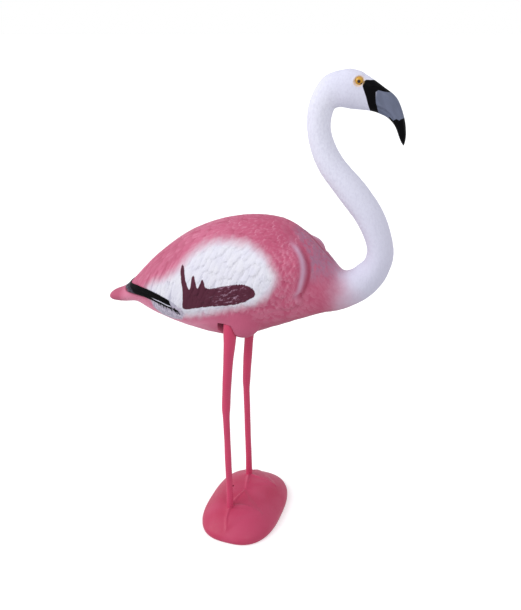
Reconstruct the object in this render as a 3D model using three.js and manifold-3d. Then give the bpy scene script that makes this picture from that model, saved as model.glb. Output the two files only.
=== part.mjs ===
// A moulded plastic garden flamingo: a hollow-moulded bird on two thin legs, which
// stand in a domed base with two webbed feet on its top.
// Millimetres, +Z up. The origin is the centre of the base's underside, the bird
// faces +X, and its right side is towards -Y.
import * as THREE from "three";
import { mergeVertices } from "three/addons/utils/BufferGeometryUtils.js";
import Module from "manifold-3d";

const wasm = await Module();
wasm.setup();

const SEAM = 0.3; // clearance between two pieces that meet
const SIDES = [{ side: "right", sign: -1 }, { side: "left", sign: 1 }];
// Where the bird and its legs stand over the base. Their own dimensions start there.
const BIRD_PLACE = new THREE.Vector3(-4.5, 0, 7);

// ---- Driving dimensions: the bird --------------------------------------------------
// Sections from the tail to the tip of the bill. back and belly are the [x, z] of the
// upper and lower line, half is the half width, and level is the height of the widest
// line between them (0 belly, 1 back).
const SECTIONS = [
  { name: "tail tip", back: [-282, 448], belly: [-281, 440], half: 6, level: 0.5 },
  { name: "tail", back: [-268, 459], belly: [-268, 437], half: 15, level: 0.5 },
  { name: "tail root", back: [-240, 473], belly: [-243, 439], half: 25, level: 0.5 },
  { name: "rump", back: [-205, 505], belly: [-206, 444], half: 41, level: 0.48 },
  { name: "vent", back: [-158, 552], belly: [-170, 428], half: 56, level: 0.46 },
  { name: "loin", back: [-99, 596], belly: [-117, 414], half: 71, level: 0.45 },
  { name: "hip", back: [-39, 622], belly: [-56, 404], half: 79, level: 0.45 },
  { name: "saddle", back: [21, 635], belly: [5, 405], half: 81, level: 0.45 },
  { name: "withers", back: [76, 632], belly: [62, 428], half: 78, level: 0.46 },
  { name: "mantle", back: [121, 609], belly: [112, 450], half: 68, level: 0.48 },
  { name: "breast", back: [157, 575], belly: [156, 469], half: 53, level: 0.5 },
  { name: "neck root", back: [183, 550], belly: [190, 479], half: 37, level: 0.5 },
  { name: "crop", back: [200, 551], belly: [223, 497], half: 30, level: 0.5 },
  { name: "lower bend", back: [214, 562], belly: [247, 519], half: 27, level: 0.5 },
  { name: "bend", back: [226, 576], belly: [265, 550], half: 25, level: 0.5 },
  { name: "upper bend", back: [227, 600], belly: [272, 592], half: 24, level: 0.5 },
  { name: "low neck", back: [208, 638], belly: [254, 650], half: 24, level: 0.5 },
  { name: "mid neck", back: [173, 680], belly: [221, 697], half: 24, level: 0.5 },
  { name: "high neck", back: [138, 725], belly: [177, 743], half: 22, level: 0.5 },
  { name: "throat", back: [120, 775], belly: [157, 783], half: 20, level: 0.5 },
  { name: "nape", back: [120, 825], belly: [159, 814], half: 20, level: 0.5 },
  { name: "hindhead", back: [142, 866], belly: [169, 822], half: 21, level: 0.5 },
  { name: "crown", back: [176, 879], belly: [188, 820], half: 22, level: 0.52 },
  { name: "brow", back: [195, 878], belly: [205, 819], half: 20, level: 0.55 },
  { name: "bill root", back: [211, 871], belly: [218, 818], half: 17, level: 0.56 },
  { name: "bill ridge", back: [238, 854], belly: [231, 815], half: 13, level: 0.55 },
  { name: "bill bend", back: [259, 838], belly: [247, 808], half: 11, level: 0.5 },
  { name: "bill hook", back: [272, 811], belly: [259, 796], half: 9, level: 0.5 },
  { name: "bill nail", back: [277, 787], belly: [267, 779], half: 6.5, level: 0.5 },
  { name: "bill tip", back: [276.5, 767], belly: [273, 767], half: 2.5, level: 0.5 },
];
const NECK_CUTS = ["neck root", "upper bend", "mid neck", "nape"];
const MOUTH_LEVEL = 0.24; // the lower bill's share of the bill's depth
const MOUTH_SEAM = 0.01; // the gap's share of it
const BODY_SIDES = 28; // flats round a section of the body
const NECK_SIDES = 18;
const BILL_SIDES = 14;

// ---- Driving dimensions: the wings -------------------------------------------------
const WING_BED = 4; // how far the bed under a wing lies below the body's surface
const WING_RISE = 5; // how far the folded wing stands above the body's surface
const SHOULDER_RISE = 14; // the same at the front of the wing
const FLIGHT_RISE = 8; // the same at the black flight feathers
const EDGE_RISE = 0.8; // the same along the edges that thin out
const LOWER_FADE = 30; // height over which the lower edge thins out
const UPPER_FADE = { from: 575, to: 620 }; // heights between which the upper edge does
// Outlines from the side, [x, z]. The wing and the flight feathers share an edge.
const WING_OUTLINE = {
  shoulder: [[104, 606], [128, 596], [142, 578], [148, 556], [142, 530], [132, 515]],
  elbow: [[137, 509], [133, 494], [112, 488]],
  lower: [[79, 486], [42, 474], [-13, 461], [-64, 453], [-100, 459]],
  upper: [[-244, 500], [-196, 514], [-150, 548], [-95, 588], [-40, 606], [30, 614], [70, 614]],
};
const FLIGHT_OUTLINE = {
  upper: [[-100, 473], [-118, 482], [-136, 490], [-160, 496], [-190, 497], [-220, 492], [-244, 490]],
  lower: [[-244, 480], [-226, 475], [-198, 478], [-171, 477], [-147, 474], [-125, 468], [-100, 459]],
};

// ---- Driving dimensions: eyes, legs and base ---------------------------------------
const EYE = { x: 202, z: 862, radius: 7.2, bulge: 2.2, depth: 5 };
const LEG_TRACK = 57; // half the distance between the legs
const LEG_STEPS = 14;
const LEG_SIDES = 10;
const LEG_PATH = [
  { x: -2, z: 446.7, radius: 11.3 },
  { x: -2, z: 430, radius: 12.3 },
  { x: -3.6, z: 402, radius: 10.9 },
  { x: -6.6, z: 370, radius: 9.5 },
  { x: -10.8, z: 312, radius: 8.7 },
  { x: -13, z: 268, radius: 8 },
  { x: -13.2, z: 246, radius: 6.9 },
  { x: -12, z: 195, radius: 6.5 },
  { x: -11, z: 140, radius: 6.5 },
  { x: -9.5, z: 85, radius: 6.7 },
  { x: -9, z: 34, radius: 6.9 },
];
const SOCKET = { x: -7, top: 447, radius: 18.5 };
const THIGH = { x: 18, y: 46, z: 458, radii: [37, 27, 41] };
const BASE = { halfLength: 115, halfDepth: 79, squareness: 2.7, wall: 12, height: 46, roundness: 3 };
const BASE_SIDES = 40;
const BASE_RIM = [{ share: 0.985, z: 0 }, { share: 1, z: 3 }, { share: 1, z: 7.2 }];
const DOME_SHARES = [0.985, 0.94, 0.86, 0.76, 0.63, 0.48, 0.3, 0.14];
const FILLER_HOLE = { x: -31, radius: 2.4, depth: 14 };
const FOOT = { x: -13.5, y: 57, webRise: 2, toeRise: 4.5, toeWidth: 7, toeTaper: 0.55, heel: 9 };
const WEB_DIP = 0.08; // how far the web's edge curves in between two toes
const TOES = [
  [[-13.5, 57], [-12, 80], [-5, 102]],
  [[-13.5, 57], [17, 49], [50, 48]],
  [[-13.5, 57], [-7, 28], [-1, 4]],
];

// ---- Materials ---------------------------------------------------------------------
const plastic = (color, roughness) => new THREE.MeshStandardMaterial({ color, roughness, metalness: 0 });
const PINK = plastic("#c87893", 0.5);
const WING_PINK = plastic("#d8a3bb", 0.5);
const WHITE = plastic("#d6d5e6", 0.55);
const BLACK = plastic("#15131a", 0.4);
const BILL_GREY = plastic("#636980", 0.35);
const YELLOW = plastic("#d8a52c", 0.3);
const LEG_PINK = plastic("#b84c6d", 0.5);
const BASE_PINK = plastic("#ba4768", 0.5);

// ---- Solids ------------------------------------------------------------------------
function toSolid(geometry) {
  const bare = geometry.clone();
  bare.deleteAttribute("normal");
  bare.deleteAttribute("uv");
  const merged = mergeVertices(bare, 1e-4);
  const vertProperties = new Float32Array(merged.attributes.position.array);
  const triVerts = new Uint32Array(merged.index.array);
  return new wasm.Manifold(new wasm.Mesh({ numProp: 3, vertProperties, triVerts }));
}

function toGeometry(solid) {
  const mesh = solid.getMesh();
  const geometry = new THREE.BufferGeometry();
  geometry.setAttribute("position", new THREE.BufferAttribute(mesh.vertProperties, 3));
  geometry.setIndex(new THREE.BufferAttribute(mesh.triVerts, 1));
  geometry.computeVertexNormals();
  return geometry;
}

// A closed surface through rings of points, all with the same count, and a flat fan
// over each end. Its faces are turned to point outwards.
function closedLoft(rings) {
  const sides = rings[0].length;
  const positions = rings.flat().flatMap((point) => point.toArray());
  const faces = [];
  for (let ring = 0; ring < rings.length - 1; ring += 1) {
    for (let side = 0; side < sides; side += 1) {
      const next = (side + 1) % sides;
      const here = ring * sides;
      const there = here + sides;
      faces.push([here + side, here + next, there + next], [here + side, there + next, there + side]);
    }
  }
  for (const [ring, turn] of [[0, 1], [rings.length - 1, -1]]) {
    const middle = new THREE.Vector3();
    rings[ring].forEach((point) => middle.addScaledVector(point, 1 / sides));
    const centre = positions.length / 3;
    positions.push(...middle.toArray());
    for (let side = 0; side < sides; side += 1) {
      const first = ring * sides + side;
      const second = ring * sides + ((side + 1) % sides);
      faces.push(turn > 0 ? [centre, second, first] : [centre, first, second]);
    }
  }
  const geometry = new THREE.BufferGeometry();
  geometry.setAttribute("position", new THREE.Float32BufferAttribute(positions, 3));
  const isInsideOut = volume(positions, faces) < 0;
  geometry.setIndex(faces.flatMap(([a, b, c]) => (isInsideOut ? [a, c, b] : [a, b, c])));
  return geometry;
}

function volume(positions, faces) {
  const corner = (index) => new THREE.Vector3().fromArray(positions, index * 3);
  return faces.reduce((sum, [a, b, c]) => sum + corner(a).dot(corner(b).cross(corner(c))), 0) / 6;
}

// An upright panel: an outline in the X-Z plane, as thick as from y = near to y = far.
function panel(outline, near, far) {
  const shape = new THREE.Shape(outline.map(([x, z]) => new THREE.Vector2(x, z)));
  const geometry = new THREE.ExtrudeGeometry(shape, { depth: Math.abs(far - near), bevelEnabled: false });
  geometry.rotateX(Math.PI / 2);
  geometry.translate(0, Math.max(near, far), 0);
  return toSolid(geometry);
}

const railThrough = (points) => new THREE.CatmullRomCurve3(points, false, "catmullrom", 0.5);

// A smooth open curve through flat points, divided into count steps.
function curved(points, count) {
  const curve = railThrough(points.map(([x, z]) => new THREE.Vector3(x, 0, z)));
  return curve.getPoints(count).map((point) => [point.x, point.z]);
}

// Moves a closed outline outwards by distance (inwards when it is negative).
function offset(outline, distance) {
  const turn = Math.sign(THREE.ShapeUtils.area(outline.map(([x, y]) => new THREE.Vector2(x, y))));
  return outline.map((point, index) => {
    const before = outline[(index + outline.length - 1) % outline.length];
    const after = outline[(index + 1) % outline.length];
    const along = new THREE.Vector2(after[0] - before[0], after[1] - before[1]).normalize();
    return [point[0] + along.y * distance * turn, point[1] - along.x * distance * turn];
  });
}

// ---- The bird's outer surface ------------------------------------------------------
const backRail = railThrough(SECTIONS.map(({ back }) => new THREE.Vector3(back[0], 0, back[1])));
const bellyRail = railThrough(SECTIONS.map(({ belly }) => new THREE.Vector3(belly[0], 0, belly[1])));
const shapeRail = railThrough(SECTIONS.map(({ half, level }) => new THREE.Vector3(half, level, 0)));
const sectionIndex = (name) => SECTIONS.findIndex((section) => section.name === name);
const billRoot = sectionIndex("bill root");
const billTip = sectionIndex("bill tip");

// The ring of the section at place, counted in sections. rise(point) lifts each point.
function ringAt(place, sides, rise = () => 0) {
  const along = place / (SECTIONS.length - 1);
  const back = backRail.getPoint(along);
  const belly = bellyRail.getPoint(along);
  const shape = shapeRail.getPoint(along);
  const centre = belly.clone().lerp(back, shape.y);
  return Array.from({ length: sides }, (_, side) => {
    const angle = (side / sides) * 2 * Math.PI;
    const pole = Math.sin(angle) > 0 ? back : belly;
    const arm = pole.clone().sub(centre).multiplyScalar(Math.abs(Math.sin(angle)));
    arm.y = shape.x * Math.cos(angle);
    const lift = rise(centre.clone().add(arm));
    return centre.clone().addScaledVector(arm, 1 + lift / arm.length());
  });
}

function bodyLoft(from, to, steps, sides, rise) {
  const rings = Array.from({ length: steps + 1 }, (_, step) => {
    return ringAt(THREE.MathUtils.lerp(from, to, step / steps), sides, rise);
  });
  return closedLoft(rings);
}

// The place one seam short of a section, in sections.
function seamBefore(place) {
  const step = 0.05;
  const middle = (at) => {
    const along = at / (SECTIONS.length - 1);
    return bellyRail.getPoint(along).lerp(backRail.getPoint(along), 0.5);
  };
  return place - (step * SEAM) / middle(place - step).distanceTo(middle(place));
}

// ---- Wings and flight feathers -----------------------------------------------------
const between = (value, low, high) => THREE.MathUtils.smoothstep(value, low, high);

// Height of the wing's surface over the body's, at a point of the body's surface.
function wingRise({ x, z }) {
  const front = THREE.MathUtils.lerp(WING_RISE, SHOULDER_RISE, between(x, 20, 135));
  const height = THREE.MathUtils.lerp(FLIGHT_RISE, front, between(x, -150, -90));
  const lowerEdge = THREE.MathUtils.mapLinear(x, -64, 79, 455, 488);
  const isCrisp = Math.max(1 - between(x, -115, -85), between(x, 85, 112));
  const lower = Math.max(between(z, lowerEdge, lowerEdge + LOWER_FADE), isCrisp);
  const upper = 1 - between(z, UPPER_FADE.from, UPPER_FADE.to) * between(x, -60, 20);
  return Math.max(height * lower * upper, EDGE_RISE);
}

const wingOutline = [
  ...WING_OUTLINE.shoulder,
  ...WING_OUTLINE.elbow,
  ...WING_OUTLINE.lower,
  ...FLIGHT_OUTLINE.upper,
  ...WING_OUTLINE.upper,
];
const flightOutline = [...FLIGHT_OUTLINE.upper, ...FLIGHT_OUTLINE.lower];
const wingFrom = sectionIndex("tail root");
const wingTo = sectionIndex("neck root") - 0.3;
const REACH = 120; // further out to each side than any part of the bird

// The bed that both wings lie on, and for each side the room cut out of the trunk
// and what fills it.
function wingParts() {
  const layer = (rise) => toSolid(bodyLoft(wingFrom, wingTo, 16, 20, () => rise));
  const surface = toSolid(bodyLoft(wingFrom, wingTo, 22, BODY_SIDES, wingRise));
  const cover = surface.subtract(layer(SEAM - WING_BED));
  const sides = SIDES.map(({ side, sign }) => {
    const room = (outline) => panel(outline, 0, sign * REACH);
    const filling = (outline) => {
      return cover.intersect(panel(offset(outline, -SEAM), (sign * SEAM) / 2, sign * REACH));
    };
    return {
      side,
      room: room(wingOutline).add(room(flightOutline)),
      wing: filling(wingOutline),
      flight: filling(flightOutline),
    };
  });
  return { bed: layer(-WING_BED), sides };
}

// ---- Legs --------------------------------------------------------------------------
// A tapering tube, cut off below where it stands on its foot.
function legSolid(sign) {
  const path = railThrough(LEG_PATH.map(({ x, z, radius }) => new THREE.Vector3(x, radius, z)));
  const rings = path.getPoints(LEG_STEPS).map(({ x, y: radius, z }) => {
    return Array.from({ length: LEG_SIDES }, (_, side) => {
      const angle = (side / LEG_SIDES) * 2 * Math.PI;
      return new THREE.Vector3(x + radius * Math.cos(angle), sign * LEG_TRACK + radius * Math.sin(angle), z);
    });
  });
  const { x, y, z } = BIRD_PLACE;
  return toSolid(closedLoft(rings)).subtract(domeSolid(FOOT.toeRise + SEAM).translate(-x, -y, -z));
}

// An upright cylinder on a circle in the X-Y plane, from z = bottom to z = top.
function post(x, y, radius, bottom, top, sides) {
  const geometry = new THREE.CylinderGeometry(radius, radius, top - bottom, sides);
  geometry.rotateX(Math.PI / 2);
  geometry.translate(x, y, (top + bottom) / 2);
  return toSolid(geometry);
}

function socketSolid(sign) {
  return post(SOCKET.x, sign * LEG_TRACK, SOCKET.radius, SOCKET.top - 60, SOCKET.top, 20);
}

function thighSolid(sign) {
  const geometry = new THREE.SphereGeometry(1, 14, 8);
  geometry.rotateX(Math.PI / 2);
  geometry.scale(...THIGH.radii);
  geometry.translate(THIGH.x, sign * THIGH.y, THIGH.z);
  return toSolid(geometry);
}

// ---- Base and feet -----------------------------------------------------------------
// Height of the dome over the floor at a share (0 middle, 1 rim) of its plan.
function domeHeight(share) {
  return BASE.wall + (BASE.height - BASE.wall) * (1 - share ** BASE.roundness);
}

function baseRing(share, height) {
  return Array.from({ length: BASE_SIDES }, (_, side) => {
    const angle = (side / BASE_SIDES) * 2 * Math.PI;
    const across = Math.abs(Math.cos(angle)) ** BASE.squareness;
    const along = Math.abs(Math.sin(angle)) ** BASE.squareness;
    const reach = share * (across + along) ** (-1 / BASE.squareness);
    const x = BASE.halfDepth * reach * Math.cos(angle);
    const y = BASE.halfLength * reach * Math.sin(angle);
    return new THREE.Vector3(x, y, height);
  });
}

// The base's outside, with its dome raised by lift.
function domeSolid(lift) {
  const rim = BASE_RIM.map(({ share, z }) => baseRing(share, z));
  const dome = DOME_SHARES.map((share) => baseRing(share, domeHeight(share) + lift));
  return toSolid(closedLoft([...rim, ...dome]));
}

function baseSolid() {
  const { x, radius, depth } = FILLER_HOLE;
  return domeSolid(0).subtract(post(x, 0, radius, BASE.height - depth, BASE.height * 2, 12));
}

// A flat outline in the X-Y plane, standing up through the dome.
function upright(outline) {
  const shape = new THREE.Shape(outline.map(([x, y]) => new THREE.Vector2(x, y)));
  return toSolid(new THREE.ExtrudeGeometry(shape, { depth: BASE.height * 2, bevelEnabled: false }));
}

// A toe's outline, narrowing to its tip.
function toeOutline(points) {
  const middle = curved(points, 4);
  const last = middle.length - 1;
  const edge = (turn) => middle.map(([x, y], index) => {
    const from = middle[Math.max(index - 1, 0)];
    const to = middle[Math.min(index + 1, last)];
    const along = new THREE.Vector2(to[0] - from[0], to[1] - from[1]).normalize();
    const reach = (FOOT.toeWidth / 2) * (1 - (FOOT.toeTaper * index) / last) * turn;
    return [x - along.y * reach, y + along.x * reach];
  });
  return [...edge(1), ...edge(-1).reverse()];
}

function footSolid(sign) {
  const heel = [FOOT.x, sign * FOOT.y];
  const toes = TOES.map((toe) => toe.map(([x, y]) => [x, sign * y]));
  const tips = toes.map((toe) => toe[toe.length - 1]);
  const dip = (one, other) => [0, 1].map((axis) => {
    return ((one[axis] + other[axis]) * (1 - WEB_DIP)) / 2 + heel[axis] * WEB_DIP;
  });
  const web = [heel, tips[0], dip(tips[0], tips[1]), tips[1], dip(tips[1], tips[2]), tips[2]];
  const heelPost = post(heel[0], heel[1], FOOT.heel, 0, BASE.height * 2, 14);
  const ridges = toes.reduce((all, toe) => all.add(upright(toeOutline(toe))), heelPost);
  const webLayer = domeSolid(FOOT.webRise).intersect(upright(web));
  const toeLayer = domeSolid(FOOT.toeRise).intersect(ridges);
  return webLayer.add(toeLayer).subtract(domeSolid(SEAM));
}

// ---- Eyes and bill -----------------------------------------------------------------
// How far out the head's surface is at the eye.
function headHalfWidth() {
  const away = (point) => Math.hypot(point.x - EYE.x, point.z - EYE.z);
  const ring = ringAt(sectionIndex("brow"), NECK_SIDES * 4);
  const nearest = ring.reduce((best, point) => (away(point) < away(best) ? point : best));
  return Math.abs(nearest.y);
}

// The recess for an eye, and the eye itself, a flattened ball that stands out of it.
function eyeParts(sign) {
  const surface = headHalfWidth();
  const disc = (radius, inside, outside) => {
    const geometry = new THREE.CylinderGeometry(radius, radius, outside + inside, BILL_SIDES);
    geometry.translate(EYE.x, sign * (surface + (outside - inside) / 2), EYE.z);
    return toSolid(geometry);
  };
  const ball = new THREE.SphereGeometry(1, BILL_SIDES, 8);
  ball.scale(EYE.radius - SEAM, EYE.depth + EYE.bulge - SEAM, EYE.radius - SEAM);
  ball.translate(EYE.x, sign * (surface - EYE.depth), EYE.z);
  return {
    recess: disc(EYE.radius, EYE.depth, EYE.radius),
    eye: toSolid(ball).intersect(disc(EYE.radius * 2, EYE.depth - SEAM, EYE.radius)),
  };
}

// All that lies below a level of the bill's depth.
function belowMouth(level) {
  const rings = [];
  for (let place = billRoot - 0.2; place < billTip + 0.5; place += 0.45) {
    const belly = bellyRail.getPoint(place / billTip);
    const back = backRail.getPoint(place / billTip);
    const low = belly.clone().lerp(back, -0.6);
    const high = belly.clone().lerp(back, level);
    rings.push([[low, -1], [low, 1], [high, 1], [high, -1]].map(([point, sign]) => {
      return new THREE.Vector3(point.x, sign * REACH, point.z);
    }));
  }
  return toSolid(closedLoft(rings));
}

// ---- Assembly ----------------------------------------------------------------------
const group = new THREE.Group();
const bird = new THREE.Group();
bird.position.copy(BIRD_PLACE);
group.add(bird);

function add(parent, name, shape, material) {
  const geometry = shape.isBufferGeometry ? shape : toGeometry(shape);
  const mesh = new THREE.Mesh(geometry, material);
  mesh.name = name;
  parent.add(mesh);
}

add(bird, "tail", bodyLoft(0, seamBefore(wingFrom), 5, BILL_SIDES + 2), PINK);

const neckCuts = NECK_CUTS.map(sectionIndex);
const wings = wingParts();
let trunk = toSolid(bodyLoft(wingFrom, seamBefore(neckCuts[0]), 24, BODY_SIDES));
trunk = trunk.add(thighSolid(-1)).add(thighSolid(1));
for (const { side, room, wing, flight } of wings.sides) {
  trunk = trunk.subtract(room);
  add(bird, `wing_${side}`, wing, WING_PINK);
  add(bird, `flight_feathers_${side}`, flight, BLACK);
}
trunk = trunk.add(wings.bed).subtract(socketSolid(-1)).subtract(socketSolid(1));
add(bird, "trunk", trunk, PINK);

["neck_lower", "neck_middle", "neck_upper"].forEach((name, index) => {
  add(bird, name, bodyLoft(neckCuts[index], seamBefore(neckCuts[index + 1]), 8, NECK_SIDES), WHITE);
});

let head = toSolid(bodyLoft(neckCuts[3], seamBefore(billRoot), 10, NECK_SIDES + 2));
for (const { side, sign } of SIDES) {
  const { recess, eye } = eyeParts(sign);
  head = head.subtract(recess);
  add(bird, `eye_${side}`, eye, YELLOW);
}
add(bird, "head", head, WHITE);

const bill = toSolid(bodyLoft(billRoot, billTip, 12, BILL_SIDES));
add(bird, "bill_upper", bill.subtract(belowMouth(MOUTH_LEVEL + MOUTH_SEAM)), BILL_GREY);
add(bird, "bill_lower", bill.intersect(belowMouth(MOUTH_LEVEL)), BILL_GREY);

for (const { side, sign } of SIDES) {
  add(bird, `leg_${side}`, legSolid(sign), LEG_PINK);
  add(group, `foot_${side}`, footSolid(sign), BASE_PINK);
}
add(group, "base", baseSolid(), BASE_PINK);

export default group;
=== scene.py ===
"""The looks of a moulded plastic garden flamingo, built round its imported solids.

One skin is the whole hollow-moulded bird, from the tail to the root of the bill. The
bill, the eyes, the black flight feathers, the legs and the base are pieces of their own.
Driving dimensions are the part's, in millimetres; they become metres when a mesh is made.
"""

import math

import bpy
import numpy as np
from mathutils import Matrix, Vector


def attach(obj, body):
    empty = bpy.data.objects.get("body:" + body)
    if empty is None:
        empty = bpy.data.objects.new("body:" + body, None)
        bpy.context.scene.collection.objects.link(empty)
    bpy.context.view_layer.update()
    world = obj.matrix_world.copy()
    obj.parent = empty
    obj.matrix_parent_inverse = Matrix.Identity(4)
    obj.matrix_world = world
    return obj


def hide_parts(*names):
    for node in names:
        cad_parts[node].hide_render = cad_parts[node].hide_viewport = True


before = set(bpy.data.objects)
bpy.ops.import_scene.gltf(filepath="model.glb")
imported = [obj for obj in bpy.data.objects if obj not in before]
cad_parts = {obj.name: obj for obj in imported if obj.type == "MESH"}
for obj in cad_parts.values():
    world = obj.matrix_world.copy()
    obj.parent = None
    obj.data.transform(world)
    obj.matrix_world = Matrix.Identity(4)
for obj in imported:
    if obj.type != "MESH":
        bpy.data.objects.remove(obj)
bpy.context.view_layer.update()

MM = 0.001
SIDES = {"right": -1, "left": 1}
BIRD_PLACE = (-4.5, 0, 7)  # where the bird and its legs stand over the base

# ---- The bird's sections, as the solids have them -----------------------------------
# name, back [x, z], belly [x, z], half width, height of the widest line between them
SECTIONS = [
    ("tail tip", (-282, 448), (-281, 440), 6, 0.5),
    ("tail", (-268, 459), (-268, 437), 15, 0.5),
    ("tail root", (-240, 473), (-243, 439), 25, 0.5),
    ("rump", (-205, 505), (-206, 444), 41, 0.48),
    ("vent", (-158, 552), (-170, 428), 56, 0.46),
    ("loin", (-99, 596), (-117, 414), 71, 0.45),
    ("hip", (-39, 622), (-56, 404), 79, 0.45),
    ("saddle", (21, 635), (5, 405), 81, 0.45),
    ("withers", (76, 632), (62, 428), 78, 0.46),
    ("mantle", (121, 609), (112, 450), 68, 0.48),
    ("breast", (157, 575), (156, 469), 53, 0.5),
    ("neck root", (183, 550), (190, 479), 37, 0.5),
    ("crop", (200, 551), (223, 497), 30, 0.5),
    ("lower bend", (214, 562), (247, 519), 27, 0.5),
    ("bend", (226, 576), (265, 550), 25, 0.5),
    ("upper bend", (227, 600), (272, 592), 24, 0.5),
    ("low neck", (208, 638), (254, 650), 24, 0.5),
    ("mid neck", (173, 680), (221, 697), 24, 0.5),
    ("high neck", (138, 725), (177, 743), 22, 0.5),
    ("throat", (120, 775), (157, 783), 20, 0.5),
    ("nape", (120, 825), (159, 814), 20, 0.5),
    ("hindhead", (142, 866), (169, 822), 21, 0.5),
    ("crown", (176, 879), (188, 820), 22, 0.52),
    ("brow", (195, 878), (205, 819), 20, 0.55),
    ("bill root", (211, 871), (218, 818), 17, 0.56),
    ("bill ridge", (238, 854), (231, 815), 13, 0.55),
    ("bill bend", (259, 838), (247, 808), 11, 0.5),
    ("bill hook", (272, 811), (259, 796), 9, 0.5),
    ("bill nail", (277, 787), (267, 779), 6.5, 0.5),
    ("bill tip", (276.5, 767), (273, 767), 2.5, 0.5),
]
PLACE = {section[0]: place for place, section in enumerate(SECTIONS)}

# Outlines from the side, [x, z].
WING_SHOULDER = [(84, 624), (106, 607), (122, 592), (133, 575), (138, 556), (134, 531), (126, 516)]
WING_ELBOW = [(131, 509), (127, 497), (108, 489)]
WING_LOWER = [(79, 486), (42, 474), (-13, 461), (-64, 453), (-100, 459)]
WING_UPPER = [(-244, 500), (-196, 514), (-150, 560), (-95, 605), (-40, 630), (20, 645), (60, 640)]
FLIGHT_UPPER = [
    (-98, 474), (-118, 484), (-136, 490), (-160, 494), (-190, 495), (-220, 492), (-244, 490),
]
FLIGHT_LOWER = [
    (-244, 480), (-226, 475), (-198, 476), (-171, 477), (-147, 474), (-125, 468), (-100, 459),
]
# How far the wing stands out, and how broadly it fades into the belly.
WING_RISE = 5
SHOULDER_RISE = 14
FLIGHT_RISE = 8
BULGE_RISE = 5
BULGE_PLACE, BULGE_REACH = (130, 38), (24, 20)  # along and across the bird, each side
LOWER_FADE = 30
FADE_FROM, FADE_TO = (-64, 455), (79, 488)  # the line where that fading starts, [x, z]
WING_END = -242  # the rear edge, which curves forward down each side
WING_RIM = 14  # how broadly the shoulder rounds down to its edge
GROOVE_DEPTH = 2.4
SEAM_DEPTH = 1.6
LEFT_FORWARD = 9  # how much further forward the left shoulder stands

EYE = {"x": 201.4, "z": 862.7, "radius": 7.2, "bulge": 2.2}
LEG_TRACK = 57
LEG_PATH = [  # x, z, radius
    (-1.5, 455, 11), (-2, 430, 12.3), (-3.6, 402, 10.9), (-6.6, 370, 9.5), (-10.8, 312, 8.7),
    (-13, 268, 8), (-13.2, 246, 6.9), (-12, 195, 6.5), (-11, 140, 6.5), (-9.5, 85, 6.7), (-9, 33, 6.9),
]
SOCKET = {"x": -7, "top": 447, "radius": 18.5}
THIGH = {"x": 18, "y": 46, "z": 458, "radii": (37, 27, 41), "blend": 9}
BASE = {
    "half_length": 115, "half_depth": 79, "squareness": 2.7, "wall": 12, "height": 46, "roundness": 3,
}
FILLER_HOLE = {"x": -31.5, "y": 6, "radius": 2.4, "depth": 14}
FOOT = {
    "web_rise": 2, "toe_rise": 4.5, "toe_width": 7, "toe_taper": 0.55, "heel_rise": 4.2, "heel": 9.5,
}
HEEL = (-13.5, 57)
TOES = [[HEEL, (-12, 80), (-5, 102)], [HEEL, (17, 49), (50, 48)], [HEEL, (-7, 28), (-1, 4)]]

# ---- Painted markings, as outlines from the side, [x, z] ----------------------------
WHITE_PATCH = [
    (-155, 504), (-120, 523), (-90, 546), (-72, 570), (-45, 589), (-18, 598), (11, 600), (40, 597),
    (64, 586), (84, 568), (91, 549), (83, 527), (68, 510), (46, 497), (18, 488), (-21, 474),
    (-53, 461), (-88, 450), (-132, 454), (-165, 480),
]
MAROON = [
    (-85, 473), (-83, 489), (-82, 503), (-84, 518), (-87, 535), (-87, 547), (-84, 553), (-80, 545),
    (-78, 534), (-75, 525), (-72, 517), (-68, 511), (-65, 517), (-64, 525), (-64, 533), (-60, 538),
    (-57, 532), (-55, 524), (-52, 516), (-48, 521), (-45, 529), (-42, 534), (-38, 529), (-37, 523),
    (-32, 519), (-23, 520), (-8, 525), (3, 528), (18, 532), (33, 534), (45, 533), (53, 528), (57, 522),
    (54, 515), (46, 509), (38, 504), (29, 500), (16, 495), (1, 492), (-18, 488), (-38, 483),
    (-59, 477), (-79, 470),
]
FACE_BLACK = [
    (207.5, 862), (212, 864.5), (223, 864), (229, 863), (240, 859), (253, 852), (248, 846.5),
    (240, 847.5), (231, 849.5), (228, 847), (229, 833), (233, 816), (236, 806), (216, 806),
    (220, 817), (214, 840), (208, 855),
]
BILL_TIP = [
    (250, 810), (257, 805), (262, 808), (266, 806), (277, 812), (290, 800), (290, 760), (255, 760),
]
UNDERTAIL = [
    (-160, 474), (-147, 480), (-90, 470), (-86, 455), (-98, 438), (-126, 431), (-145, 437), (-158, 452),
]


def smooth(value, low, high):
    """0 at low, 1 at high and an even S between, whichever of the two is the larger."""
    share = np.clip((value - low) / (high - low), 0, 1)
    return share * share * (3 - 2 * share)


def mix(one, other, share):
    return one + (other - one) * share


def bell(value, width):
    return np.exp(-((value / width) ** 2))


def oval(x, y, centre, reach):
    """A bell over a plane, with its own reach along x and along y."""
    return bell(np.hypot((x - centre[0]) / reach[0], (y - centre[1]) / reach[1]), 1)


def quarter_round(share):
    """The height of a quarter circle that starts upright at a share of 0 and is level at 1."""
    return np.sqrt(np.clip(1 - (1 - np.clip(share, 0, 1)) ** 2, 0, 1))


def turns(count):
    """The angles of points evenly round a circle."""
    return np.arange(count) / count * 2 * math.pi


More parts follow.
